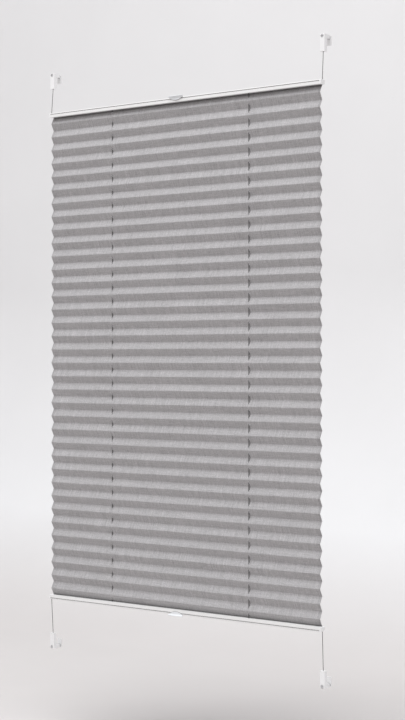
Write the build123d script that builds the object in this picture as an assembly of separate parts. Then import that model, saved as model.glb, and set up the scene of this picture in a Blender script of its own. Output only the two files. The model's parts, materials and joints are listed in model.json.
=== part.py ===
"""Pleated blind held in front of a window sash by four clamp brackets and two tension cords.

Millimetres. +X runs to the right as seen from the room, +Y into the window and +Z up.
The origin is the middle of the sash's top edge, on the sash's front face. The room side is -Y.
"""
from build123d import *
from math import cos, atan2, sqrt
import os

os.makedirs("parts", exist_ok=True)

# ---- driving dimensions -------------------------------------------------------------------

# the window sash that the brackets clamp
sash_height = 1517.0          # from the sash's top edge to its bottom edge
sash_thickness = 18.0         # jaw opening of the brackets as fitted

# pleated fabric
fabric_width = 848.0
fabric_thickness = 0.36
facet_length = 20.0           # fabric between one crease and the next
nominal_pleat_depth = 9.3     # front to back, as hung
cord_hole_inset = 207.0       # from the fabric's side edge to the cord holes
cord_hole_radius = 2.1

# rails
rail_depth = 17.0
rail_height = 11.2
rail_wall = 1.1
rail_corner = 1.4             # rounding of the rail's outer corners
rail_slot = 3.0               # width of the slot round the fabric's first back crease
groove_width = 1.6            # long groove in the rail's two faces
groove_depth = 0.9
groove_from_outside = 3.2     # from the rail's outer face to the groove's middle
sash_to_rail = 2.0            # air between the sash and the back of the rails
cap_flange = 4.5              # visible thickness of an end cap
cap_plug = 10.0               # length of an end cap inside the rail
cap_round = 0.6               # rounding of an end cap's outer edges

# cords
cord_diameter = 1.4
cord_spacing = 1.9            # between the two cords where they pass each other
cord_bend = 2.6               # bend radius at the caps and guides
mouth_bend = 20.0             # bend radius of the slight turn at a cap's mouth
cord_inset = 1.9              # from the end of the rail to the cord's axis
mouth_depth = 0.6             # below a cap's mouth, where the cord turns upright
top_gap = 66.2                # free cord between a top bracket and the top rail
bottom_gap = 92.4             # free cord between the bottom rail and a bottom bracket
knot_diameter = 3.0
knot_height = 4.4             # from the open end of a bracket's leg to the knot's middle

# fabric retaining strips and cord guides
strip_thickness = 1.1
strip_width = 13.8
guide_length = 14.0

# handles
handle_width = 44.0
handle_thickness = 1.6
handle_reach = 4.6            # how far the finger lip stands out from the rail's face
handle_overhang = 3.8         # how far the lip stands out past the rail's outer face
handle_start = 4.6            # rail face left bare between the fabric and the handle
handle_curve = 3.0            # radius of the bend from the plate to the lip
handle_shoulder = 2.6         # height of the plate's two ends
handle_clip_width = 26.0

# clamp brackets
bracket_width = 13.0
bracket_thickness = 10.5      # leg, front to back
leg_length = 32.0             # below the top edge, or above the bottom edge, of the sash
arm_height = 9.0
bracket_corner = 1.5
tongue_width = 8.0
tongue_height = 6.0
plate_thickness = 3.0         # hook plate behind the sash
plate_drop = 14.0             # hook plate beyond the sash's edge
plate_corner = 1.2
clamp_travel = 5.0            # how far the hook moves each way
shoe_width = 8.0
shoe_depth = 7.0
shoe_length = 15.6

# clamp screw
screw_diameter = 4.0
screw_head_diameter = 7.0
screw_head_height = 3.0
hex_socket = 3.0              # across the flats
hex_socket_depth = 2.0
screw_head_chamfer = 0.4
screw_head_recess = 0.5       # from the bracket's face to the head
screw_front_wall = 2.0        # bracket wall that the head bears on
screw_tip_inset = 1.0         # from the hook plate's front face to the screw's tip

# clearances
slide_gap = 0.25              # each side of a sliding tongue
thread_gap = 0.05             # radial, screw in the hook's threaded hole
seat_gap = 0.1                # a piece in its fixed seat
hem_gap = 0.05                # hem above the rail's lips
cord_gap = 0.3                # radial, cord in a hole
head_gap = 0.4                # radial, screw head in its counterbore
arm_stop_gap = 0.5            # hook plate to arm with the jaw closed
tongue_stop_gap = 1.0         # tongue to the end of its pocket with the jaw closed

# ---- places worked out from those sizes -----------------------------------------------------

blind_drop = sash_height - 2 * leg_length - top_gap - bottom_gap - 2 * rail_height
pleat_count = round(blind_drop / (2 * sqrt(facet_length**2 - nominal_pleat_depth**2)))
facet_count = 2 * pleat_count
facet_drop = blind_drop / facet_count
pleat_depth = sqrt(facet_length**2 - facet_drop**2)

mid_y = -(sash_to_rail + rail_depth / 2)
fabric_top = -leg_length - top_gap - rail_height
fabric_bottom = fabric_top - blind_drop
fabric_half_y = fabric_thickness / 2 / cos(atan2(pleat_depth, facet_drop))

rail_half = fabric_width / 2 + seat_gap + cap_flange
profile_half = rail_half - cap_flange
cord_x = rail_half - cord_inset
hole_x = fabric_width / 2 - cord_hole_inset
anchor_y = -bracket_thickness / 2

# heights inside a rail, measured outwards from the face that the fabric enters
hem_low = rail_wall + hem_gap
strip_low = hem_low + 2 * fabric_half_y + seat_gap
hem_high = strip_low + strip_thickness + seat_gap
guide_low = hem_high + 2 * fabric_half_y + seat_gap
guide_high = rail_height - rail_wall - seat_gap
run_height = (guide_low + guide_high) / 2
rib_half_gap = rail_depth / 2 - 2 * rail_wall
guide_width = 2 * (rib_half_gap - seat_gap)

# depths inside a clamp bracket
screw_z = arm_height / 2
head_seat = -bracket_thickness + screw_head_recess + screw_head_height
pocket_front = head_seat + screw_front_wall
hook_front = pocket_front + tongue_stop_gap + clamp_travel
arm_length = sash_thickness - clamp_travel - arm_stop_gap
screw_tip = sash_thickness - screw_tip_inset


def cord_y(side):
    """Depth of the cord whose ends are at this side: the two cords pass each other in the rails."""
    return mid_y + side * cord_spacing / 2


def block(x, y, z):
    """Box from its low and high limits along each axis."""
    size = (x[1] - x[0], y[1] - y[0], z[1] - z[0])
    middle = ((x[0] + x[1]) / 2, (y[0] + y[1]) / 2, (z[0] + z[1]) / 2)
    return Pos(*middle) * Box(*size)


def along_y(radius, y_low, y_high, x, z):
    """Cylinder along Y between two depths."""
    middle = Pos(x, (y_low + y_high) / 2, z)
    return middle * Rot(90, 0, 0) * Cylinder(radius, y_high - y_low)


def upright(radius, z_low, z_high, x, y):
    """Cylinder along Z between two heights."""
    return Pos(x, y, (z_low + z_high) / 2) * Cylinder(radius, z_high - z_low)


def profile_along_x(points, x_low, x_high):
    """Closed outline of (y, z) points, extruded along X."""
    outline = make_face(Polyline(*points, close=True))
    face = Plane.YZ.offset(x_low) * outline
    return extrude(face, amount=x_high - x_low)


def at_top_rail(piece):
    """Put a piece drawn with its fabric side at z = 0 and the rail's middle at y = 0 in the top rail."""
    return Pos(0, mid_y, fabric_top) * piece


def at_bottom_rail(piece):
    """The same piece, upside down, in the bottom rail."""
    return Pos(0, mid_y, fabric_bottom) * mirror(piece, about=Plane.XY)


# ---- cords ----------------------------------------------------------------------------------


def cord_route(side):
    """Corners of the cord that starts and ends at one side, from its top knot to its bottom knot."""
    near = side * cord_x
    far = -side * hole_x
    y = cord_y(side)
    mouth = rail_height - mouth_depth
    return [
        (near, anchor_y, -leg_length + knot_height),
        (near, y, fabric_top + mouth),
        (near, y, fabric_top + run_height),
        (far, y, fabric_top + run_height),
        (far, y, fabric_bottom - run_height),
        (near, y, fabric_bottom - run_height),
        (near, y, fabric_bottom - mouth),
        (near, anchor_y, -sash_height + leg_length - knot_height),
    ]


def swept_cord(side, radius):
    """Round tube along a cord's route."""
    points = cord_route(side)
    radii = [mouth_bend] + [cord_bend] * 4 + [mouth_bend]
    path = FilletPolyline(*points, radius=radii)
    section = Plane(origin=path @ 0, z_dir=path % 0) * Circle(radius)
    return sweep(section, path=path), path.length


def tension_cord(side):
    """One cord with the stop knot at each end."""
    points = cord_route(side)
    tube, length = swept_cord(side, cord_diameter / 2)
    print(f"cord {side:+d}: length {length:.1f}, tube volume {tube.volume:.1f}")
    for end in (points[0], points[-1]):
        tube += Pos(*end) * Sphere(knot_diameter / 2)
    return tube


def cord_bores():
    """Clearance holes that both cords leave in whatever they pass through."""
    return [swept_cord(side, cord_diameter / 2 + cord_gap)[0] for side in (-1, 1)]


# ---- fabric ---------------------------------------------------------------------------------


def fabric_hem():
    """Fabric that goes up through the slot and back round the strip, drawn at the top rail."""
    t = 2 * fabric_half_y
    inside = rail_depth / 2 - rail_wall - seat_gap
    valley = pleat_depth / 2
    half = fabric_width / 2
    through = block((-half, half), (valley - t / 2, valley + t / 2), (-fabric_half_y, hem_low + t))
    under = block((-half, half), (valley, inside), (hem_low, hem_low + t))
    round_back = block((-half, half), (inside - t, inside), (hem_low, hem_high + t))
    over = block((-half, half), (inside - strip_width, inside), (hem_high, hem_high + t))
    return through + under + round_back + over


def pleated_fabric():
    """One sheet: the zigzag between the rails, its two hems and its two rows of cord holes."""
    front = []
    back = []
    for crease in range(facet_count + 1):
        side = 1 if crease % 2 == 0 else -1
        y = mid_y + side * pleat_depth / 2
        z = fabric_top - crease * facet_drop
        front.append((y - fabric_half_y, z))
        back.append((y + fabric_half_y, z))
    sheet = profile_along_x(front + back[::-1], -fabric_width / 2, fabric_width / 2)
    sheet += at_top_rail(fabric_hem())
    sheet += at_bottom_rail(fabric_hem())
    top = fabric_top + rail_height
    bottom = fabric_bottom - rail_height
    for side in (-1, 1):
        sheet -= upright(cord_hole_radius, bottom, top, -side * hole_x, cord_y(side))
    return sheet


# ---- rails, drawn with the fabric side at z = 0 ---------------------------------------------


def rail_outline(x_low, x_high):
    """Solid bar with the rail's outer shape."""
    half = rail_depth / 2
    bar = block((x_low, x_high), (-half, half), (0, rail_height))
    return fillet(bar.edges().filter_by(Axis.X).group_by(Axis.Z)[-1], rail_corner)


def rail_profile():
    """Aluminium extrusion: a channel with a slot for the fabric and a groove in both faces."""
    half = rail_depth / 2
    length = (-profile_half, profile_half)
    rail = rail_outline(*length)
    rail -= block(length, (rail_wall - half, half - rail_wall), (rail_wall, rail_height - rail_wall))
    slot = (pleat_depth / 2 - rail_slot / 2, pleat_depth / 2 + rail_slot / 2)
    rail -= block(length, slot, (0, rail_wall))
    groove_z = rail_height - groove_from_outside
    rib = groove_width + 2 * rail_wall
    for side in (-1, 1):
        wall = sorted((side * rib_half_gap, side * (half - rail_wall)))
        cut = sorted((side * (half - groove_depth), side * half))
        rail += block(length, wall, (groove_z - rib / 2, groove_z + rib / 2))
        rail -= block(length, cut, (groove_z - groove_width / 2, groove_z + groove_width / 2))
        rail -= upright(cord_hole_radius, 0, rail_wall, -side * hole_x, cord_y(side) - mid_y)
    return rail


def end_cap(side):
    """Plastic cap with a flange over the rail's end and a plug inside it."""
    flange = rail_outline(profile_half, rail_half)
    flange = fillet(flange.faces().sort_by(Axis.X)[-1].edges(), cap_round)
    plug = block(
        (profile_half - cap_plug, profile_half),
        (-guide_width / 2, guide_width / 2),
        (guide_low, guide_high),
    )
    cap = flange + plug
    return cap if side > 0 else mirror(cap, about=Plane.YZ)


def cord_guide(side):
    """Block over a row of cord holes that turns one cord down and lets the other pass."""
    x = side * hole_x
    length = (x - guide_length / 2, x + guide_length / 2)
    return block(length, (-guide_width / 2, guide_width / 2), (guide_low, guide_high))


def retaining_strip():
    """Flat strip that the fabric's hem wraps round inside the rail."""
    back = rail_depth / 2 - rail_wall - 2 * fabric_half_y - 2 * seat_gap
    half = fabric_width / 2
    strip = block((-half, half), (back - strip_width, back), (strip_low, strip_low + strip_thickness))
    for side in (-1, 1):
        y = cord_y(side) - mid_y
        strip -= upright(cord_hole_radius, 0, rail_height, -side * hole_x, y)
    return strip


def handle():
    """Clip-on grip: a domed finger plate in front, a bridge over the rail and a hook behind it."""
    t = handle_thickness
    front = -rail_depth / 2 - seat_gap - t / 2
    back = -front
    tip_y = -rail_depth / 2 - handle_reach
    tip_z = rail_height + handle_overhang
    curve = FilletPolyline((front, handle_start), (front, rail_height), (tip_y, tip_z), radius=handle_curve)
    plate = extrude(Plane.YZ * trace(curve, line_width=t), amount=handle_width / 2, both=True)
    ends = handle_width / 2
    shoulder = tip_z - handle_shoulder
    side_and_lip = Polyline((-ends, shoulder), (-ends, tip_z + t), (ends, tip_z + t), (ends, shoulder))
    dome = ThreePointArc((ends, shoulder), (0, handle_start), (-ends, shoulder))
    outline = make_face([*side_and_lip.edges(), dome.edge()])
    plate &= extrude(Plane.XZ * outline, amount=rail_depth * 2, both=True)
    bridge_z = rail_height + seat_gap + t / 2
    groove_z = rail_height - groove_from_outside
    bridge = Polyline((front, bridge_z), (back, bridge_z), (back, groove_z - groove_width))
    clip = extrude(Plane.YZ * trace(bridge, line_width=t), amount=handle_clip_width / 2, both=True)
    nib_half = groove_width / 2 - seat_gap
    clip_half = handle_clip_width / 2
    nib_y = (rail_depth / 2 - groove_depth + seat_gap, back)
    clip += block((-clip_half, clip_half), nib_y, (groove_z - nib_half, groove_z + nib_half))
    return plate + clip


# ---- clamp brackets, drawn at the sash's top edge with the edge at z = 0 ---------------------


def clamp_bracket():
    """Plastic body: a leg down the sash's face and a hollow arm over its edge."""
    half = bracket_width / 2
    body = block((-half, half), (-bracket_thickness, 0), (-leg_length, arm_height))
    body += block((-half, half), (0, arm_length), (0, arm_height))
    front_edges = body.edges().filter_by(Axis.Z).group_by(Axis.Y)[0]
    top_front = body.edges().filter_by(Axis.X).group_by(Axis.Y)[0].sort_by(Axis.Z)[-1]
    body = fillet([*front_edges, top_front], bracket_corner)
    pocket_half = tongue_width / 2 + slide_gap
    pocket_z = (screw_z - tongue_height / 2 - slide_gap, screw_z + tongue_height / 2 + slide_gap)
    body -= block((-pocket_half, pocket_half), (pocket_front, arm_length), pocket_z)
    body -= along_y(screw_diameter / 2 + head_gap, -bracket_thickness, pocket_front, 0, screw_z)
    head_radius = screw_head_diameter / 2 + head_gap
    body -= along_y(head_radius, -bracket_thickness, head_seat, 0, screw_z)
    shoe_half = shoe_width / 2 + seat_gap
    shoe_y = (anchor_y - shoe_depth / 2 - seat_gap, anchor_y + shoe_depth / 2 + seat_gap)
    body -= block((-shoe_half, shoe_half), shoe_y, (-leg_length, -leg_length + shoe_length + seat_gap))
    return body


def clamp_hook():
    """Tongue that slides in the arm, with the plate that grips the sash from behind."""
    half = bracket_width / 2
    tongue_half = tongue_width / 2
    tongue_z = (screw_z - tongue_height / 2, screw_z + tongue_height / 2)
    plate_y = (sash_thickness, sash_thickness + plate_thickness)
    plate = block((-half, half), plate_y, (-plate_drop, arm_height))
    plate = fillet(plate.edges().filter_by(Axis.Y), plate_corner)
    hook = plate + block((-tongue_half, tongue_half), (hook_front, plate_y[1]), tongue_z)
    return hook - along_y(screw_diameter / 2 + thread_gap, hook_front, plate_y[1], 0, screw_z)


def clamp_screw():
    """Socket screw that draws the hook towards the room."""
    head_y = head_seat - seat_gap
    front_y = head_y - screw_head_height
    head = along_y(screw_head_diameter / 2, front_y, head_y, 0, screw_z)
    head = chamfer(head.edges().group_by(Axis.Y)[0], screw_head_chamfer)
    screw = head + along_y(screw_diameter / 2, head_y, screw_tip, 0, screw_z)
    socket = Plane(origin=(0, front_y, screw_z), z_dir=(0, 1, 0))
    hexagon = socket * RegularPolygon(hex_socket / 2, 6, major_radius=False)
    return screw - extrude(hexagon, amount=hex_socket_depth)


def cord_shoe():
    """Insert in the leg's end: a pocket for the cord's knot, open at the top."""
    half = shoe_width / 2
    shoe_y = (anchor_y - shoe_depth / 2, anchor_y + shoe_depth / 2)
    top = -leg_length + shoe_length
    shoe = block((-half, half), shoe_y, (-leg_length, top))
    pocket_floor = -leg_length + knot_height - knot_diameter / 2 - seat_gap
    return shoe - upright(knot_diameter / 2 + cord_gap, pocket_floor, top, 0, anchor_y)


def at_corner(piece, side, top):
    """Put a piece drawn at the sash's top edge in one of the four corners."""
    if top:
        return Pos(side * cord_x, 0, 0) * piece
    return Pos(side * cord_x, 0, -sash_height) * mirror(piece, about=Plane.XY)


# ---- all the nodes ---------------------------------------------------------------------------


def all_nodes():
    """Every sub-part at its place, by name."""
    bores = cord_bores()
    nodes = {"pleated_fabric": pleated_fabric()}
    for row, place in (("top", at_top_rail), ("bottom", at_bottom_rail)):
        nodes[f"{row}_rail"] = place(rail_profile())
        nodes[f"{row}_retaining_strip"] = place(retaining_strip())
        nodes[f"{row}_handle"] = place(handle())
        for side, hand in ((-1, "left"), (1, "right")):
            nodes[f"{row}_{hand}_end_cap"] = place(end_cap(side)) - bores
            nodes[f"{row}_{hand}_cord_guide"] = place(cord_guide(side)) - bores
    for row, top in (("top", True), ("bottom", False)):
        for side, hand in ((-1, "left"), (1, "right")):
            corner = f"{row}_{hand}"
            nodes[f"{corner}_bracket"] = at_corner(clamp_bracket(), side, top)
            nodes[f"{corner}_hook"] = at_corner(clamp_hook(), side, top)
            nodes[f"{corner}_clamp_screw"] = at_corner(clamp_screw(), side, top)
            nodes[f"{corner}_cord_shoe"] = at_corner(cord_shoe(), side, top) - bores
    nodes["left_cord"] = tension_cord(-1)
    nodes["right_cord"] = tension_cord(1)
    return nodes


print(f"{pleat_count} pleats, {2 * facet_drop:.3f} apart and {pleat_depth:.3f} deep")
for name, shape in all_nodes().items():
    export_step(shape, f"parts/{name}.step")
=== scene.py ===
"""Pleated blind: a folded fabric between two sliding rails, strung on two tension cords
between four clamp brackets.

Metres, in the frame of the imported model: +X to the right as seen from the room, +Y into the
window and +Z up. The room side is -Y.
"""

import json
import math

import bpy
import numpy as np
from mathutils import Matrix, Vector

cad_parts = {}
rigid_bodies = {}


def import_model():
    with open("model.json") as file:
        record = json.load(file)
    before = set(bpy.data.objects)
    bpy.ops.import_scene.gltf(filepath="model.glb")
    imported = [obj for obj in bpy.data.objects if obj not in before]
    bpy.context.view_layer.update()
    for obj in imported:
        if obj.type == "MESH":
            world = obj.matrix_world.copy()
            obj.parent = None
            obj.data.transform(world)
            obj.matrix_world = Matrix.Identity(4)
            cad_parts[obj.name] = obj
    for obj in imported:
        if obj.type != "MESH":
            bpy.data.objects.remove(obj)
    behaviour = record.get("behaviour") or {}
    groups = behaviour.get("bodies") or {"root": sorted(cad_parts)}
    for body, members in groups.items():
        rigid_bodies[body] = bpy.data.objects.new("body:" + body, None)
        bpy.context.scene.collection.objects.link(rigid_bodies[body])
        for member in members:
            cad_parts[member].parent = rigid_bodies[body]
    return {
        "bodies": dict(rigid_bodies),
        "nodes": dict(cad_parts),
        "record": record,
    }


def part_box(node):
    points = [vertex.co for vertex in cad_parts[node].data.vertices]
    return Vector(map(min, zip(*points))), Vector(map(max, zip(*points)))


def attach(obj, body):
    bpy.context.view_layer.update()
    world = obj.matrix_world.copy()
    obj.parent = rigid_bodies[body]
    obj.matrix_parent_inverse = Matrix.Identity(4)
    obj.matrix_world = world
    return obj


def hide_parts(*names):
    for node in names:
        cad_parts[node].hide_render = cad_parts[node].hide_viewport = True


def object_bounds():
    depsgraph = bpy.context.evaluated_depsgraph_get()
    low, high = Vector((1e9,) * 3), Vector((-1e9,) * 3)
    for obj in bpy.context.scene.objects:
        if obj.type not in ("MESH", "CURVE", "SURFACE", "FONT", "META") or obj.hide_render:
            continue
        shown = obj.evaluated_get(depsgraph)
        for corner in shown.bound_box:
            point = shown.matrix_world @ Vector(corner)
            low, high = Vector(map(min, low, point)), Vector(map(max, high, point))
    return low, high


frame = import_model()
cad_low, cad_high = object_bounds()
bodies = frame["bodies"]
cad = frame["nodes"]
random_draw = np.random.default_rng(36)

MM = 0.001

# ---- sizes of the soft pieces ----------------------------------------------------------------

pleat_count = 36
facet_length = 20 * MM
fabric_thickness = 0.36 * MM
hole_half_width = 1.5 * MM      # punched cord hole, across the width
hole_half_length = 3.0 * MM     # and along the facet, so that the cord clears it at every pose
hole_patch = 6 * MM             # cloth that is meshed finely to each side of a hole
patch_steps = 4
column_width = 15 * MM          # about this far apart elsewhere across the width
hem_clearance = 0.304 * MM      # middle of the cloth to the retaining strip
hem_setback = 0.5 * MM          # the hem's raw edge to the strip's front edge
least_pleat_depth = 2.0 * MM    # pleats never pull quite flat

crease_wander = 0.16 * MM, 0.22 * MM    # how far a crease strays in depth and in height
calm_creases = 4                # creases near a rail that stray less and less
crease_rounding = 0.14 * MM     # middle of a crease to the sharp corner
crease_half_width = 0.45 * MM
mean_bow = 0.1 * MM             # how far a facet bows, and how much that changes
bow_change = 0.16 * MM
shortest_panel = 5 * MM         # shorter panels are the hem's folds, and stay plain

cord_diameter = 1.4 * MM
cord_spacing = 1.9 * MM
knot_diameter = 3.0 * MM
cord_turns = 2.5                # turns of cord in a stop knot
coil_height = 1.4 * cord_diameter
mouth_depth = 0.6 * MM          # where a cord meets the rail's outer face
braid_yarns = 8
braid_lay = 3.4 * MM            # length of cord in which a yarn goes once round

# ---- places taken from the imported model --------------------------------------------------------


def middle(node):
    """Middle of a node's box."""
    low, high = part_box(node)
    return (Vector(low) + Vector(high)) / 2


rail_top_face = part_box("top_rail")[1][2]
fabric_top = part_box("top_rail")[0][2]
fabric_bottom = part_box("bottom_rail")[1][2]
rail_bottom_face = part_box("bottom_rail")[0][2]
mid_y = middle("top_rail").y
half_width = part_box("pleated_fabric")[1][0]
upper_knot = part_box("left_cord")[1][2] - knot_diameter / 2
lower_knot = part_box("left_cord")[0][2] + knot_diameter / 2
hole_x = middle("top_right_cord_guide").x

facet_count = 2 * pleat_count
blind_drop = fabric_top - fabric_bottom
facet_drop = blind_drop / facet_count
pleat_depth = math.sqrt(facet_length**2 - facet_drop**2)


def cord_y(side):
    """Depth of the cord whose ends are at this side."""
    return mid_y + side * cord_spacing / 2


# ---- meshes --------------------------------------------------------------------------------------


def mesh_piece(name, points, faces, flat=None):
    """A smooth mesh object. Its UV map flat_cut holds the flat coordinates of every face corner."""
    mesh = bpy.data.meshes.new(name)
    mesh.from_pydata([tuple(p) for p in points], [], faces)
    if flat is not None:
        layer = mesh.uv_layers.new(name="flat_cut")
        layer.data.foreach_set("uv", np.asarray(flat, np.float32).ravel())
    mesh.shade_smooth()
    mesh.validate()
    piece = bpy.data.objects.new(name, mesh)
    bpy.context.collection.objects.link(piece)
    return piece


# ---- how soft pieces follow the rails ----------------------------------------------------------


def follow_rails_group():
    """Stretches a soft piece in height between the rails, and deepens or flattens its pleats."""
    tree = bpy.data.node_groups.new("follow_rails", "GeometryNodeTree")
    tree.interface.new_socket("Geometry", in_out="INPUT", socket_type="NodeSocketGeometry")
    tree.interface.new_socket("Pleats", in_out="INPUT", socket_type="NodeSocketFloat")
    tree.interface.new_socket("Geometry", in_out="OUTPUT", socket_type="NodeSocketGeometry")
    nodes, link = tree.nodes, tree.links.new
    start = nodes.new("NodeGroupInput")
    end = nodes.new("NodeGroupOutput")

    def number(operation, *values):
        node = nodes.new("ShaderNodeMath")
        node.operation = operation
        for k, value in enumerate(values):
            if isinstance(value, (int, float)):
                node.inputs[k].default_value = value
            else:
                link(value, node.inputs[k])
        return node.outputs[0]

    def ramp(value, low, high):
        """0 at low and 1 at high."""
        node = nodes.new("ShaderNodeMapRange")
        link(value, node.inputs["Value"])
        node.inputs["From Min"].default_value = low
        node.inputs["From Max"].default_value = high
        return node.outputs["Result"]

    def rise_of(body):
        """How far a rail has moved up from where the piece's own body is."""
        info = nodes.new("GeometryNodeObjectInfo")
        info.transform_space = "RELATIVE"
        info.inputs["Object"].default_value = bodies[body]
        split = nodes.new("ShaderNodeSeparateXYZ")
        link(info.outputs["Location"], split.inputs[0])
        return split.outputs["Z"]

    place = nodes.new("ShaderNodeSeparateXYZ")
    link(nodes.new("GeometryNodeInputPosition").outputs[0], place.inputs[0])
    z = place.outputs["Z"]
    down = ramp(z, fabric_top, fabric_bottom)
    upper_share = number("MULTIPLY", ramp(z, upper_knot, rail_top_face), number("SUBTRACT", 1.0, down))
    lower_share = number("MULTIPLY", down, ramp(z, lower_knot, rail_bottom_face))
    upper_rise, lower_rise = rise_of("top_rail"), rise_of("bottom_rail")
    from_above = number("MULTIPLY", upper_share, upper_rise)
    rise = number("ADD", from_above, number("MULTIPLY", lower_share, lower_rise))

    drop = number("ADD", number("SUBTRACT", upper_rise, lower_rise), blind_drop)
    drop_each = number("DIVIDE", drop, float(facet_count))
    depth_squared = number("SUBTRACT", facet_length**2, number("MULTIPLY", drop_each, drop_each))
    depth = number("SQRT", number("MAXIMUM", depth_squared, least_pleat_depth**2))
    growth = number("SUBTRACT", number("DIVIDE", depth, pleat_depth), 1.0)
    upper_end = ramp(z, fabric_top, fabric_top - facet_drop)
    lower_end = ramp(z, fabric_bottom, fabric_bottom + facet_drop)
    free = number("MULTIPLY", number("MULTIPLY", upper_end, lower_end), start.outputs["Pleats"])
    # pleats deepen about the line of the cord that passes through them
    side = ramp(place.outputs["X"], -hole_x, hole_x)
    cord_line = number("ADD", number("MULTIPLY", side, cord_y(-1) - cord_y(1)), cord_y(1))
    off_line = number("SUBTRACT", place.outputs["Y"], cord_line)
    push = number("MULTIPLY", number("MULTIPLY", off_line, growth), free)

    shift = nodes.new("ShaderNodeCombineXYZ")
    link(push, shift.inputs["Y"])
    link(rise, shift.inputs["Z"])
    move = nodes.new("GeometryNodeSetPosition")
    link(start.outputs["Geometry"], move.inputs["Geometry"])
    link(shift.outputs[0], move.inputs["Offset"])
    link(move.outputs["Geometry"], end.inputs["Geometry"])
    return tree


follow_rails = follow_rails_group()


def let_follow_rails(piece, pleats):
    """Adds the stretch between the rails to a soft piece."""
    stretch = piece.modifiers.new("follow_rails", "NODES")
    stretch.node_group = follow_rails
    socket = next(s for s in follow_rails.interface.items_tree if s.name == "Pleats")
    stretch[socket.identifier] = float(pleats)


# ---- the pleated fabric ------------------------------------------------------------------------


def slow_wave(x, waves):
    """A smooth random line along the fabric's width, about -1 to 1."""
    total = np.zeros_like(x)
    for size, length, phase in waves:
        total += size * np.sin(2 * math.pi * x / length + phase)
    return total


def draw_waves(count=4):
    """Sizes, lengths and phases of a slow_wave."""
    sizes = random_draw.uniform(0.15, 0.4, count)
    lengths = random_draw.uniform(0.11, 0.7, count)
    phases = random_draw.uniform(0, 2 * math.pi, count)
    return list(zip(sizes, lengths, phases))


def hem_line(strip, outwards):
    """Corners of the hem round a retaining strip, from the hem's raw edge to the rail's slot."""
    low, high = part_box(strip)
    near, far = (low[2], high[2]) if outwards > 0 else (high[2], low[2])
    near, far = near - outwards * hem_clearance, far + outwards * hem_clearance
    valley = mid_y + pleat_depth / 2
    back = high[1] + hem_clearance
    return [(low[1] + hem_setback, far), (back, far), (back, near), (valley, near)]


def fabric_corners():
    """Corners in (y, z) of the whole sheet, from the upper hem's raw edge to the lower one's."""
    pleats = []
    for crease in range(facet_count + 1):
        side = 1 if crease % 2 == 0 else -1
        pleats.append((mid_y + side * pleat_depth / 2, fabric_top - crease * facet_drop))
    upper = hem_line("top_retaining_strip", 1)
    lower = hem_line("bottom_retaining_strip", -1)[::-1]
    return np.array(upper + pleats + lower), len(upper)


def run_to_crease(crease):
    """Distance along the flat sheet from its upper raw edge to a crease."""
    corners, first_crease = fabric_corners()
    steps = np.linalg.norm(np.diff(corners, axis=0), axis=1)
    return float(steps[: first_crease + crease].sum())


def fabric_columns():
    """Places across the width, with the first column of each cord's patch."""
    stops = [-half_width]
    for x in (-hole_x, hole_x):
        stops += [x - hole_patch, x + hole_patch]
    stops.append(half_width)
    columns, firsts = [], []
    for k, (a, b) in enumerate(zip(stops, stops[1:])):
        patched = k % 2 == 1
        steps = patch_steps if patched else round((b - a) / column_width)
        if patched:
            firsts.append(len(columns))
        columns += list(np.linspace(a, b, steps + 1)[:-1])
    columns.append(half_width)
    return np.array(columns), firsts


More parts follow.
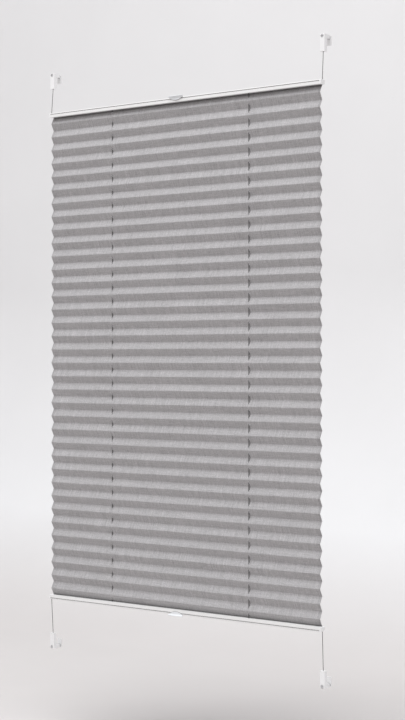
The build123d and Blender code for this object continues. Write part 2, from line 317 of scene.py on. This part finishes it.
class FoldedSheet:
    """The folded sheet, panel by panel from its upper raw edge to its lower one."""

    def __init__(self):
        self.corners, self.first_crease = fabric_corners()
        self.last_crease = self.first_crease + facet_count
        self.columns, self.patches = fabric_columns()
        runs = np.diff(self.corners, axis=0)
        self.lengths = np.linalg.norm(runs, axis=1)
        self.along = runs / self.lengths[:, None]
        self.starts = np.concatenate([[0], np.cumsum(self.lengths)])
        self.wander = self.draw_wander()
        self.bows = self.draw_bows()
        self.rows, self.first_row = self.panel_rows()
        self.points, self.flat, self.faces = [], [], []
        self.lay_rows()
        opened = self.punch_holes()
        self.lay_faces(opened)

    def draw_wander(self):
        """How far each crease strays along the width. It strays less near the rails."""
        wander = np.zeros((len(self.corners), len(self.columns), 2))
        for k in range(self.first_crease + 1, self.last_crease):
            off_rail = min(k - self.first_crease, self.last_crease - k, calm_creases) / calm_creases
            for axis, size in enumerate(crease_wander):
                wander[k, :, axis] = size * off_rail * slow_wave(self.columns, draw_waves())
        return wander

    def draw_bows(self):
        """How far each facet bows along the width."""
        bows = np.zeros((len(self.lengths), len(self.columns)))
        for k in range(self.first_crease, self.last_crease):
            bows[k] = bow_change * slow_wave(self.columns, draw_waves(3)) + mean_bow
        return bows

    def panel_rows(self):
        """Rows of points, each as a panel and a distance along it, and the first row of each panel."""
        rows, first_row = [], []
        for k, length in enumerate(self.lengths):
            edge = min(crease_half_width, 0.2 * length)
            inner = (0.2 * length, 0.5 * length, 0.8 * length) if length > shortest_panel else ()
            first_row.append(len(rows))
            rows += [(k, s) for s in (0.0, edge, *inner, length - edge)]
        rows.append((len(self.lengths) - 1, self.lengths[-1]))
        first_row.append(len(rows) - 1)
        return rows, first_row

    def corner_at(self, k, x):
        """Where corner k is at width x, as (y, z)."""
        return self.corners[k] + [np.interp(x, self.columns, self.wander[k, :, axis]) for axis in (0, 1)]

    def place(self, k, s, x):
        """Point of panel k at distance s along it, at width x."""
        share = s / self.lengths[k]
        a, b = self.corner_at(k, x), self.corner_at(k + 1, x)
        across = np.array([self.along[k][1], -self.along[k][0]])
        bow = np.interp(x, self.columns, self.bows[k]) * math.sin(math.pi * min(max(share, 0), 1))
        y, z = a + (b - a) * share + across * bow
        return x, y, z

    def rounding(self, k):
        """How far the middle of a crease stands back from its sharp corner, as (y, z)."""
        if k == 0:
            return np.zeros(2)
        inwards = self.along[k] - self.along[k - 1]
        return inwards / max(np.linalg.norm(inwards), 1e-9) * crease_rounding

    def add(self, k, s, point):
        """Adds a point of panel k with its flat coordinates, and gives its number."""
        self.points.append(point)
        self.flat.append((point[0] + half_width, self.starts[k] + s))
        return len(self.points) - 1

    def lay_rows(self):
        """Adds the points of every row."""
        for k, s in self.rows:
            back = self.rounding(k) if s == 0.0 else np.zeros(2)
            for column in self.columns:
                x, y, z = self.place(k, s, column)
                self.add(k, s, (x, y + back[0], z + back[1]))

    def punch_holes(self):
        """Punches each facet where the cords pass through it, and gives the grid cells that this took."""
        opened = set()
        for k, length in enumerate(self.lengths):
            spread = self.corners[k + 1][0] - self.corners[k][0]
            if length <= shortest_panel or abs(spread) <= 1 * MM:
                continue
            for first in self.patches:
                centre_x = self.columns[first + patch_steps // 2]
                share = (cord_y(-1 if centre_x > 0 else 1) - self.corners[k][0]) / spread
                if 0.1 < share < 0.95:
                    self.punch(k, first, centre_x, share * length)
                    for r in range(self.first_row[k], self.first_row[k + 1]):
                        opened.update((r, c) for c in range(first, first + patch_steps))
        return opened

    def punch(self, k, first, centre_x, centre_s):
        """Three rings of faces from the edge of a patch in to the rim of one hole."""
        low, high = self.first_row[k], self.first_row[k + 1]
        last = first + patch_steps
        ring = [(low, c) for c in range(first, last)]
        ring += [(r, last) for r in range(low, high)]
        ring += [(high, c) for c in range(last, first, -1)]
        ring += [(r, first) for r in range(high, low, -1)]
        around = [r * len(self.columns) + c for r, c in ring]
        for step in (0.5, 0.82, 1.0):
            inner = []
            for r, c in ring:
                panel, run = self.rows[r]
                s = (self.starts[panel] + run) - self.starts[k]
                dx, ds = self.columns[c] - centre_x, s - centre_s
                turn = math.atan2(ds, dx)
                rim = (hole_half_width * math.cos(turn), hole_half_length * math.sin(turn))
                x = centre_x + dx * (1 - step) + rim[0] * step
                s = centre_s + ds * (1 - step) + rim[1] * step
                inner.append(self.add(k, s, self.place(k, s, x)))
            for i in range(len(ring)):
                j = (i + 1) % len(ring)
                self.faces.append((around[i], around[j], inner[j], inner[i]))
            around = inner

    def lay_faces(self, opened):
        """Adds a face in every grid cell that isn't opened for a hole."""
        wide = len(self.columns)
        for r in range(len(self.rows) - 1):
            for c in range(wide - 1):
                if (r, c) not in opened:
                    a = r * wide + c
                    self.faces.append((a, a + 1, a + wide + 1, a + wide))


def pleated_fabric():
    """One sheet, folded in facets, with a small punched hole for the cord in each of them."""
    sheet = FoldedSheet()
    used = sorted({v for face in sheet.faces for v in face})
    renumber = {v: n for n, v in enumerate(used)}
    points = [sheet.points[v] for v in used]
    faces = [tuple(renumber[v] for v in face) for face in sheet.faces]
    corner_flat = [sheet.flat[v] for face in sheet.faces for v in face]
    piece = mesh_piece("pleated_fabric_sheet", points, faces, corner_flat)
    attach(piece, "top_rail")
    let_follow_rails(piece, 1)
    thicken = piece.modifiers.new("thickness", "SOLIDIFY")
    thicken.thickness = fabric_thickness
    thicken.offset = 0
    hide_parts("pleated_fabric")
    return piece


# ---- the tension cords -------------------------------------------------------------------------


def cord_route(side):
    """Points of a cord from its upper knot, along the top rail, down through the fabric, along the
    bottom rail and down to its lower knot, with one a short way off each guide and mouth."""
    upper, lower = ("top_left", "bottom_left") if side < 0 else ("top_right", "bottom_right")
    anchor = middle(f"{upper}_bracket").x, middle(f"{upper}_cord_shoe").y
    near, far = anchor[0], -side * hole_x
    y = cord_y(side)
    run = middle(f"{upper}_cord_guide").z, middle(f"{lower}_cord_guide").z
    mouth = rail_top_face - mouth_depth, rail_bottom_face + mouth_depth
    off = 6 * cord_diameter
    slant = 0.09  # share of the free run's slant that lies within off of its end
    top = [
        (near, anchor[1], upper_knot),
        (near, anchor[1] + (y - anchor[1]) * slant, upper_knot - off),
        (near, y + (anchor[1] - y) * slant, mouth[0] + off),
        (near, y, mouth[0]),
        (near, y, run[0]),
        (near - side * off, y, run[0]),
        (far + side * off, y, run[0]),
        (far, y, run[0]),
        (far, y, run[0] - off),
    ]
    bottom = [
        (far, y, run[1] + off),
        (far, y, run[1]),
        (far + side * off, y, run[1]),
        (near - side * off, y, run[1]),
        (near, y, run[1]),
        (near, y, mouth[1]),
        (near, y + (anchor[1] - y) * slant, mouth[1] - off),
        (near, anchor[1] + (y - anchor[1]) * slant, lower_knot + off),
        (near, anchor[1], lower_knot),
    ]
    return top + bottom


def smooth_line(points):
    """Points along the smooth curve that a route's points control."""
    curve = bpy.data.curves.new("route", "CURVE")
    curve.dimensions = "3D"
    curve.resolution_u = 8
    spline = curve.splines.new("NURBS")
    spline.points.add(len(points) - 1)
    for point, place in zip(spline.points, points):
        point.co = (*place, 1.0)
    spline.order_u = 3
    spline.use_endpoint_u = True
    holder = bpy.data.objects.new("route", curve)
    bpy.context.collection.objects.link(holder)
    mesh = bpy.data.meshes.new_from_object(holder.evaluated_get(bpy.context.evaluated_depsgraph_get()))
    line = np.array([v.co[:] for v in mesh.vertices])
    bpy.data.objects.remove(holder)
    bpy.data.curves.remove(curve)
    bpy.data.meshes.remove(mesh)
    return line


def tube(line, sides):
    """Points, faces and flat coordinates of the cord along a line, closed at both ends."""
    tangents = np.gradient(line, axis=0)
    tangents /= np.linalg.norm(tangents, axis=1)[:, None]
    normal = np.cross(tangents[0], (1.0, 0.0, 0.0))
    travelled = np.concatenate([[0], np.cumsum(np.linalg.norm(np.diff(line, axis=0), axis=1))])
    points, flat, faces = [], [], []
    for centre, tangent, run in zip(line, tangents, travelled):
        normal = normal - tangent * (normal @ tangent)
        normal /= np.linalg.norm(normal)
        other = np.cross(tangent, normal)
        for k in range(sides + 1):
            turn = 2 * math.pi * k / sides
            if k < sides:
                out = math.cos(turn) * normal + math.sin(turn) * other
                points.append(centre + cord_diameter / 2 * out)
            flat.append((k / sides, run))
    rings = len(line)
    corner_flat = []
    for ring in range(rings - 1):
        this, after = ring * sides, (ring + 1) * sides
        for k in range(sides):
            n = (k + 1) % sides
            faces.append((this + k, this + n, after + n, after + k))
            a, b = this + ring + k, after + ring + 1 + k
            corner_flat += [flat[a], flat[a + 1], flat[b + 1], flat[b]]
    for ring, order in ((0, -1), (rings - 1, 1)):
        faces.append(tuple(ring * sides + k for k in range(sides))[::order])
        corner_flat += [flat[ring * (sides + 1) + k] for k in range(sides)][::order]
    return points, faces, corner_flat


def tension_cord(side):
    """One braided cord with its two stop knots."""
    name = "left_cord" if side < 0 else "right_cord"
    line = smooth_line(cord_route(side))
    length = float(np.linalg.norm(np.diff(line, axis=0), axis=1).sum())
    points, faces, corner_flat = tube(line, 12)
    for end in (0, -1):
        # a stop knot is a tight coil of the same cord round its end
        turns = np.linspace(0, 2 * math.pi * cord_turns, 61)
        grip = knot_diameter / 2 - cord_diameter / 2
        rise = (turns / turns[-1] - 0.5) * coil_height
        coil = np.stack([grip * np.cos(turns), grip * np.sin(turns), rise], axis=1) + line[end]
        more, more_faces, more_flat = tube(coil, 10)
        base = len(points)
        points += more
        faces += [tuple(v + base for v in face) for face in more_faces]
        corner_flat += more_flat
    piece = mesh_piece(f"{name}_braid", points, faces, corner_flat)
    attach(piece, "brackets")
    let_follow_rails(piece, 0)
    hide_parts(name)
    print(f"{name}: {length:.4f} m")
    return piece


# ---- shader nodes ------------------------------------------------------------------------------

# near-black colour of painted shade, for recesses in hard pieces and for the cloth near the rails and cord
# holes
painted_shade_colour = (0.05, 0.046, 0.044, 1.0)
cloth_colour = (0.42, 0.412, 0.418, 1.0)
# the cord's own dark grey, made near-black to paint in the shadow it casts on the sash, which the scene
# leaves out
cord_and_shadow_colour = (0.045, 0.044, 0.044, 1.0)


class Nodes:
    """Puts nodes into a tree and links them."""

    def __init__(self, tree):
        self.tree = tree

    def add(self, kind, settings=None, **inputs):
        """A node with its settings, and its inputs given as numbers, tuples or sockets."""
        node = self.tree.nodes.new(kind)
        for name, value in (settings or {}).items():
            setattr(node, name, value)
        for name, value in inputs.items():
            self.feed(node, name.replace("_", " "), value)
        return node

    def feed(self, node, name, value):
        """Sets or links one input, by its name or by its number."""
        socket = node.inputs[int(name)] if name.isdigit() else node.inputs[name]
        if isinstance(value, bpy.types.NodeSocket):
            self.tree.links.new(value, socket)
        else:
            socket.default_value = value

    def math(self, operation, *values):
        """A math node's output."""
        node = self.add("ShaderNodeMath", {"operation": operation})
        for k, value in enumerate(values):
            self.feed(node, str(k), value)
        return node.outputs[0]

    def noise(self, vector, scale, detail=2.0, roughness=0.5):
        """Noise from 0 to 1."""
        settings = {"Scale": scale, "Detail": detail, "Roughness": roughness}
        return self.add("ShaderNodeTexNoise", Vector=vector, **settings).outputs["Fac"]

    def stretched(self, vector, x, y, z):
        """A vector scaled along each axis."""
        node = self.add("ShaderNodeMapping", Vector=vector, Scale=(x, y, z))
        return node.outputs[0]

    def between(self, value, low, high, to_low=0.0, to_high=1.0):
        """A value mapped from one range to another, and held at its ends."""
        node = self.add("ShaderNodeMapRange", Value=value, From_Min=low, From_Max=high)
        self.feed(node, "To Min", to_low)
        self.feed(node, "To Max", to_high)
        return node.outputs[0]

    def swing(self, value):
        """Noise spread from about -1 to 1."""
        return self.between(value, 0.3, 0.7, -1.0, 1.0)

    def grey(self, value):
        """A colour with this value in all three channels."""
        return self.add("ShaderNodeCombineXYZ", X=value, Y=value, Z=value).outputs[0]

    def split(self, vector):
        """The three parts of a vector, by axis."""
        return self.add("ShaderNodeSeparateXYZ", Vector=vector).outputs

    def mix(self, factor, a, b, blend="MIX"):
        """A colour mix."""
        node = self.add("ShaderNodeMix", {"data_type": "RGBA", "blend_type": blend})
        self.feed(node, "0", factor)
        self.feed(node, "6", a)
        self.feed(node, "7", b)
        return node.outputs[2]


def new_group(name, inputs, outputs):
    """A shader group with its sockets, and the builder of what is in it."""
    tree = bpy.data.node_groups.new(name, "ShaderNodeTree")
    kinds = {"value": "NodeSocketFloat", "colour": "NodeSocketColor", "vector": "NodeSocketVector"}
    for way, sockets in (("INPUT", inputs), ("OUTPUT", outputs)):
        for label, kind in sockets:
            tree.interface.new_socket(label, in_out=way, socket_type=kinds[kind])
    n = Nodes(tree)
    return tree, n, n.add("NodeGroupInput").outputs, n.add("NodeGroupOutput")


def thread_weave_group():
    """Plain weave: threads along V that pass over and under threads along U."""
    tree, n, given, out = new_group(
        "thread_weave",
        [("Flat", "vector"), ("Pitch", "value")],
        [("Height", "value"), ("Hollow", "value")],
    )
    split = n.split(given["Flat"])
    cells, profiles, waves = [], [], []
    for axis in ("X", "Y"):
        cell = n.math("DIVIDE", split[axis], given["Pitch"])
        off_middle = n.math("MULTIPLY_ADD", n.math("FRACT", cell), 2.0, -1.0)
        profile = n.math("SQRT", n.math("SUBTRACT", 1.0001, n.math("MULTIPLY", off_middle, off_middle)))
        cells.append(n.math("FLOOR", cell))
        profiles.append(profile)
        waves.append(n.math("COSINE", n.math("MULTIPLY", off_middle, math.pi)))
    odd = n.math("PINGPONG", n.math("ADD", cells[0], cells[1]), 1.0)
    over = n.math("MULTIPLY_ADD", odd, 2.0, -1.0)
    warp = n.math("MULTIPLY_ADD", n.math("MULTIPLY", over, waves[1]), 0.35, 0.6)
    weft = n.math("MULTIPLY_ADD", n.math("MULTIPLY", over, waves[0]), -0.35, 0.6)
    height = n.math("MAXIMUM", n.math("MULTIPLY", warp, profiles[0]), n.math("MULTIPLY", weft, profiles[1]))
    n.feed(out, "Height", height)
    n.feed(out, "Hollow", n.between(height, 0.45, 0.1))
    return tree


def slow_tone_group():
    """A tone that drifts over a surface, with finer mottling on it."""
    tree, n, given, out = new_group(
        "slow_tone",
        [
            ("Place", "vector"),
            ("Colour", "colour"),
            ("Drift", "value"),
            ("Mottle", "value"),
            ("Grain Scale", "value"),
        ],
        [("Colour", "colour")],
    )
    broad = n.swing(n.noise(given["Place"], 9.0, 3.0))
    fine = n.swing(n.noise(given["Place"], given["Grain Scale"], 4.0, 0.65))
    mottle = n.math("MULTIPLY", fine, given["Mottle"])
    change = n.math("ADD", n.math("MULTIPLY", broad, given["Drift"]), mottle)
    gain = n.grey(n.math("ADD", change, 1.0))
    n.feed(out, "Colour", n.mix(1.0, given["Colour"], gain, "MULTIPLY"))
    return tree


def fine_grain_group():
    """The fine unevenness of a moulded or coated surface, as a height and a roughness."""
    tree, n, given, out = new_group(
        "fine_grain",
        [("Place", "vector"), ("Size", "value"), ("Roughness", "value"), ("Spread", "value")],
        [("Height", "value"), ("Roughness", "value")],
    )
    scale = n.math("DIVIDE", 1.0, given["Size"])
    cells = n.add("ShaderNodeTexVoronoi", {"feature": "SMOOTH_F1"}, Vector=given["Place"], Scale=scale)
    peel = n.noise(given["Place"], n.math("MULTIPLY", scale, 0.3), 3.0)
    height = n.math("ADD", n.math("MULTIPLY", cells.outputs["Distance"], 0.4), peel)
    smear = n.swing(n.noise(n.stretched(given["Place"], 1.0, 1.0, 0.35), 45.0, 4.0, 0.6))
    n.feed(out, "Height", height)
    n.feed(out, "Roughness", n.math("ADD", given["Roughness"], n.math("MULTIPLY", smear, given["Spread"])))
    return tree


def settled_dust_group():
    """A thin veil of dust on faces that look up."""
    tree, n, given, out = new_group(
        "settled_dust",
        [("Place", "vector"), ("Colour", "colour"), ("Roughness", "value"), ("Amount", "value")],
        [("Colour", "colour"), ("Roughness", "value")],
    )
    facing = n.split(n.add("ShaderNodeNewGeometry").outputs["Normal"])["Z"]
    patches = n.between(n.noise(given["Place"], 60.0, 5.0, 0.7), 0.35, 0.75)
    veil = n.math("MULTIPLY", n.math("MULTIPLY", n.between(facing, 0.3, 0.95), patches), given["Amount"])
    n.feed(out, "Colour", n.mix(veil, given["Colour"], (0.55, 0.52, 0.48, 1.0)))
    n.feed(out, "Roughness", n.math("ADD", given["Roughness"], n.math("MULTIPLY", veil, 0.5)))
    return tree


def recess_grime_group():
    """Painted shade: darker where a surface lies in a narrow groove or slot, as ambient occlusion finds it.
    """
    tree, n, given, out = new_group(
        "painted_recess_shade",
        [("Colour", "colour"), ("Reach", "value"), ("Open", "value"), ("Amount", "value")],
        [("Colour", "colour")],
    )
    free = n.add("ShaderNodeAmbientOcclusion", {"samples": 8}, Distance=given["Reach"]).outputs["AO"]
    shut = n.between(n.math("SUBTRACT", given["Open"], free), 0.0, 0.42)
    shaded = n.mix(n.math("MULTIPLY", shut, given["Amount"]), given["Colour"], painted_shade_colour)
    n.feed(out, "Colour", shaded)
    return tree


def worn_edge_group():
    """Edges rounded a little, and where handling has polished or dulled them."""
    tree, n, given, out = new_group(
        "worn_edge",
        [("Place", "vector"), ("Radius", "value"), ("Wear", "value")],
        [("Normal", "vector"), ("Edge", "value")],
    )
    rounded = n.add("ShaderNodeBevel", {"samples": 4}, Radius=given["Radius"]).outputs[0]
    sharp = n.add("ShaderNodeNewGeometry").outputs["Normal"]
    agreement = n.add("ShaderNodeVectorMath", {"operation": "DOT_PRODUCT"})
    n.feed(agreement, "0", rounded)
    n.feed(agreement, "1", sharp)
    broken = n.between(n.noise(given["Place"], 320.0, 4.0, 0.7), 0.35, 0.65)
    edge = n.math("MULTIPLY", n.between(agreement.outputs["Value"], 0.995, 0.85), broken)
    n.feed(out, "Normal", rounded)
    n.feed(out, "Edge", n.math("MULTIPLY", edge, given["Wear"]))
    return tree


thread_weave = thread_weave_group()
slow_tone = slow_tone_group()
fine_grain = fine_grain_group()
settled_dust = settled_dust_group()
worn_edge = worn_edge_group()
painted_recess_shade = recess_grime_group()


def new_material(name):
    """A material, its nodes and its Principled BSDF."""
    material = bpy.data.materials.new(name)
    material.use_nodes = True
    material.node_tree.nodes.clear()
    n = Nodes(material.node_tree)
    shader = n.add("ShaderNodeBsdfPrincipled")
    n.add("ShaderNodeOutputMaterial", Surface=shader.outputs[0])
    return material, n, shader


def place_group(n, tree, **inputs):
    """One use of a shader group."""
    return n.add("ShaderNodeGroup", {"node_tree": tree}, **inputs).outputs


def hard_finish(
    name,
    colour,
    roughness,
    grain,
    wear,
    dust,
    coat=0.0,
    metallic=0.0,
    edge_radius=0.35,
    drift=0.02,
    worn_colour=(0.62, 0.61, 0.59, 1.0),
    recess_shade_amount=0.9,
):
    """A coated or moulded hard surface: drifting tone, fine grain, rounded worn edges, dust on top
    and painted shade in its recesses."""
    material, n, shader = new_material(name)
    here = n.add("ShaderNodeTexCoord").outputs["Object"]
    edges = place_group(n, worn_edge, Place=here, Radius=edge_radius * MM, Wear=wear)
    shades = {"Drift": drift, "Mottle": 0.012, "Grain_Scale": 700.0}
    tone = place_group(n, slow_tone, Place=here, Colour=colour, **shades)
    surface = place_group(n, fine_grain, Place=here, Size=grain * MM, Roughness=roughness, Spread=0.05)
    worn = n.mix(edges["Edge"], tone["Colour"], worn_colour)
    under = {"Colour": worn, "Roughness": surface["Roughness"]}
    veil = place_group(n, settled_dust, Place=here, Amount=dust, **under)
    # painted shade: base colour darkened towards near-black where ambient occlusion finds a groove, slot or
    # contact corner
    shaded = place_group(n, painted_recess_shade, Colour=veil["Colour"], Reach=2.0 * MM, Open=0.9, Amount=recess_shade_amount)
    n.feed(shader, "Base Color", shaded["Colour"])
    n.feed(shader, "Roughness", veil["Roughness"])
    n.feed(shader, "Metallic", metallic)
    n.feed(shader, "Coat Weight", coat)
    n.feed(shader, "Coat Roughness", 0.18)
    bump = n.add("ShaderNodeBump", Strength=0.35, Distance=0.02 * MM, Height=surface["Height"])
    n.feed(bump, "Normal", edges["Normal"])
    n.feed(shader, "Normal", bump.outputs[0])
    return material


def pleated_cloth():
    """Fine plain weave with uneven threads and a little sheen, with painted shade between its threads,
    where it enters the rails and round the cord holes towards the back creases."""
    material, n, shader = new_material("pleated_cloth")
    flat = n.add("ShaderNodeUVMap", {"uv_map": "flat_cut"}).outputs[0]
    weave = place_group(n, thread_weave, Flat=flat, Pitch=0.36 * MM)

    def uneven(across, along, detail=2.0, roughness=0.5):
        """Unevenness with this many changes a metre across the width and along the sheet."""
        return n.swing(n.noise(n.stretched(flat, across, along, 1.0), 1.0, detail, roughness))

    speck = uneven(420.0, 420.0, 3.0, 0.7)
    change = n.math("MULTIPLY", uneven(1500.0, 11.0), 0.14)  # single warp threads
    for value, share in (
        (uneven(14.0, 1300.0), 0.1),  # single weft threads
        (uneven(210.0, 7.0, 3.0, 0.6), 0.05),  # broad streaks down the sheet
        (speck, 0.2),
        (uneven(430.0, 45.0), 0.1),  # slubs in the warp
        (uneven(60.0, 430.0), 0.08),  # slubs in the weft
    ):
        change = n.math("MULTIPLY_ADD", value, share, change)
    gain = n.grey(n.math("ADD", change, 1.0))
    shades = {"Colour": cloth_colour, "Drift": 0.02, "Mottle": 0.02, "Grain_Scale": 300.0}
    tone = place_group(n, slow_tone, Place=flat, **shades)
    threads = n.mix(1.0, tone["Colour"], gain, "MULTIPLY")
    # painted shade between the threads: darker where the weave is hollow
    shaded_weave = n.mix(n.math("MULTIPLY", weave["Hollow"], 0.55), threads, (0.16, 0.155, 0.155, 1.0))

    # painted shade just under the top rail and over the bottom rail, where the rails shade the first and
    # last facets
    flat_place = n.split(flat)
    run = flat_place["Y"]
    top_entry, bottom_entry = run_to_crease(0), run_to_crease(facet_count)
    under = n.between(run, top_entry, top_entry + 9 * MM, 0.8, 0.22)
    first_facet = n.between(run, top_entry + facet_length - 0.4 * MM, top_entry + facet_length, 1.0, 0.0)
    over = n.between(run, bottom_entry - 14 * MM, bottom_entry, 0.0, 0.55)
    shaded = n.math("MULTIPLY_ADD", under, first_facet, over)

    # painted shade beside the cords, round their holes, on the half of each facet towards the back crease
    off_middle = n.math("ABSOLUTE", n.math("SUBTRACT", flat_place["X"], half_width))
    off_cord = n.math("ABSOLUTE", n.math("SUBTRACT", off_middle, hole_x))
    off_ridge = n.math("PINGPONG", n.math("SUBTRACT", run, top_entry + facet_length), facet_length)
    beside_cord = n.between(off_cord, 0.8 * MM, 2.2 * MM, 0.55, 0.0)
    cord_hole_shade = n.math("MULTIPLY", beside_cord, n.between(off_ridge, 7 * MM, 9 * MM))
    shaded = n.math("MAXIMUM", shaded, cord_hole_shade)
    n.feed(shader, "Base Color", n.mix(shaded, shaded_weave, painted_shade_colour))
    n.feed(shader, "Roughness", n.between(weave["Height"], 0.2, 1.0, 0.95, 0.78))
    n.feed(shader, "Sheen Weight", 0.12)
    n.feed(shader, "Sheen Roughness", 0.5)
    n.feed(shader, "Specular IOR Level", 0.25)
    lumpy = n.math("MULTIPLY_ADD", speck, 0.2, weave["Height"])
    bump = n.add("ShaderNodeBump", Strength=0.6, Distance=0.08 * MM, Height=lumpy)
    n.feed(shader, "Normal", bump.outputs[0])
    return material


def braided_cord():
    """Round braid: two sets of yarns crossing on a slant."""
    material, n, shader = new_material("braided_cord")
    flat = n.add("ShaderNodeUVMap", {"uv_map": "flat_cut"}).outputs[0]
    split = n.split(flat)
    around = n.math("MULTIPLY", split["X"], float(braid_yarns))
    along = n.math("MULTIPLY", split["Y"], braid_yarns / braid_lay)
    yarns = n.math("ADD", around, along), n.math("SUBTRACT", around, along)
    slant = n.add("ShaderNodeCombineXYZ", X=yarns[0], Y=yarns[1]).outputs[0]
    weave = place_group(n, thread_weave, Flat=slant, Pitch=1.0)
    here = n.add("ShaderNodeTexCoord").outputs["Object"]
    shades = {"Colour": cord_and_shadow_colour, "Drift": 0.05, "Mottle": 0.06, "Grain_Scale": 900.0}
    tone = place_group(n, slow_tone, Place=here, **shades)
    # painted shade between the yarns: near-black where the braid is hollow
    shaded_weave = n.mix(n.math("MULTIPLY", weave["Hollow"], 0.7), tone["Colour"], (0.015, 0.015, 0.015, 1.0))
    n.feed(shader, "Base Color", shaded_weave)
    n.feed(shader, "Roughness", n.between(weave["Height"], 0.2, 1.0, 0.9, 0.6))
    n.feed(shader, "Sheen Weight", 0.1)
    bump = n.add("ShaderNodeBump", Strength=0.7, Distance=0.12 * MM, Height=weave["Height"])
    n.feed(shader, "Normal", bump.outputs[0])
    return material


# ---- what every piece is made of ---------------------------------------------------------------

materials = {
    "white_rail": hard_finish(
        "white_powder_coat", (0.82, 0.82, 0.815, 1.0), roughness=0.38, grain=0.5, wear=0.12, dust=0.1
    ),
    "white_plastic": hard_finish(
        "white_moulding", (0.84, 0.842, 0.845, 1.0), roughness=0.42, grain=0.25, wear=0.15, dust=0.12
    ),
    "handle_plastic": hard_finish(
        "handle_moulding", (0.78, 0.8, 0.82, 1.0), roughness=0.22, grain=0.4, wear=0.1, dust=0.06, coat=0.3
    ),
    "strip_plastic": hard_finish(
        "plain_moulding", (0.7, 0.7, 0.695, 1.0), roughness=0.5, grain=0.3, wear=0.1, dust=0.05
    ),
    "screw_steel": hard_finish(
        "zinc_plate",
        (0.84, 0.85, 0.87, 1.0),
        roughness=0.42,
        grain=0.12,
        wear=0.3,
        dust=0.05,
        metallic=1.0,
        edge_radius=0.15,
        drift=0.05,
        worn_colour=(0.9, 0.9, 0.91, 1.0),
        recess_shade_amount=0.4,
    ),
    "pleated_fabric": pleated_cloth(),
    "cord": braided_cord(),
}

slots = {s["node"]: s["material_slot"] for s in frame["record"]["subparts"]}


def dress(piece, material):
    """Gives a piece one material."""
    if len(piece.material_slots) == 0:
        piece.data.materials.append(material)
    for slot in piece.material_slots:
        slot.material = material


for node, piece in cad.items():
    dress(piece, materials[slots[node]])

fabric_piece = pleated_fabric()
dress(fabric_piece, materials["pleated_fabric"])
for side in (-1, 1):
    dress(tension_cord(side), materials["cord"])

# ---- studio ------------------------------------------------------------------------------------


def studio_sweep():
    """A pale floor that curves up into a wall far behind the blind, and is clear from behind."""
    floor, wall_y, curve = cad_low.z - 0.25, 2.6, 1.4
    line = [(-30.0, floor), (-8.0, floor), (-3.0, floor), (0.0, floor), (wall_y - curve, floor)]
    for k in range(1, 25):
        turn = math.pi / 2 * k / 24
        line.append((wall_y - curve + curve * math.sin(turn), floor + curve * (1 - math.cos(turn))))
    line.append((wall_y, 7.0))
    xs = (-30.0, -6.0, -2.0, 2.0, 6.0, 30.0)
    points = [(x, y, z) for y, z in line for x in xs]
    wide = len(xs)
    faces = [
        (r * wide + c, r * wide + c + 1, (r + 1) * wide + c + 1, (r + 1) * wide + c)
        for r in range(len(line) - 1)
        for c in range(wide - 1)
    ]
    sweep = mesh_piece("studio_sweep", points, faces)
    material, n, shader = new_material("pale_paper")
    here = n.add("ShaderNodeTexCoord").outputs["Object"]
    up_wall = n.between(n.split(here)["Z"], floor, floor + 0.35)
    graded = n.mix(up_wall, (0.63, 0.605, 0.595, 1.0), (0.79, 0.79, 0.795, 1.0))
    fibre = n.between(n.noise(here, 3.0, 3.0), 0.3, 0.7, 0.98, 1.0)
    paper = n.mix(1.0, graded, n.grey(fibre), "MULTIPLY")
    n.feed(shader, "Base Color", paper)
    n.feed(shader, "Roughness", 0.9)
    behind = n.add("ShaderNodeNewGeometry").outputs["Backfacing"]
    clear = n.add("ShaderNodeBsdfTransparent").outputs[0]
    cut = n.add("ShaderNodeMixShader")
    n.feed(cut, "0", behind)
    n.feed(cut, "1", shader.outputs[0])
    n.feed(cut, "2", clear)
    out = next(x for x in material.node_tree.nodes if x.type == "OUTPUT_MATERIAL")
    n.feed(out, "Surface", cut.outputs[0])
    dress(sweep, material)


def soft_light(name, place, aim, size, power, colour):
    """A large rectangular soft light."""
    light = bpy.data.lights.new(name, "AREA")
    light.shape = "RECTANGLE"
    light.size, light.size_y = size
    light.energy = power
    light.color = colour
    lamp = bpy.data.objects.new(name, light)
    lamp.location = place
    lamp.rotation_euler = (Vector(aim) - Vector(place)).to_track_quat("-Z", "Y").to_euler()
    bpy.context.collection.objects.link(lamp)


def studio_sky():
    """Even light that is brighter and cooler from above."""
    world = bpy.data.worlds.new("studio_sky")
    bpy.context.scene.world = world
    world.use_nodes = True
    world.node_tree.nodes.clear()
    n = Nodes(world.node_tree)
    up = n.split(n.add("ShaderNodeTexCoord").outputs["Generated"])["Z"]
    tone = n.mix(n.between(up, 0.0, 0.75), (0.75, 0.685, 0.665, 1.0), (1.14, 1.16, 1.19, 1.0))
    sky = n.add("ShaderNodeBackground", Color=tone, Strength=0.78)
    n.add("ShaderNodeOutputWorld", Surface=sky.outputs[0])


studio_sweep()
studio_sky()
soft_light("overhead_softbox", (0.5, -2.6, 5.4), (0.0, 0.0, -0.75), (4.0, 2.6), 308.0, (0.98, 0.99, 1.0))

camera_data = bpy.data.cameras.new("camera")
camera_data.lens = 78.27
camera = bpy.data.objects.new("camera", camera_data)
camera.location = (2.4044, -3.1137, -0.7558)
camera.rotation_euler = (math.radians(90), 0, math.radians(36.88))
bpy.context.collection.objects.link(camera)
bpy.context.scene.camera = camera
bpy.context.scene.view_settings.view_transform = "Standard"
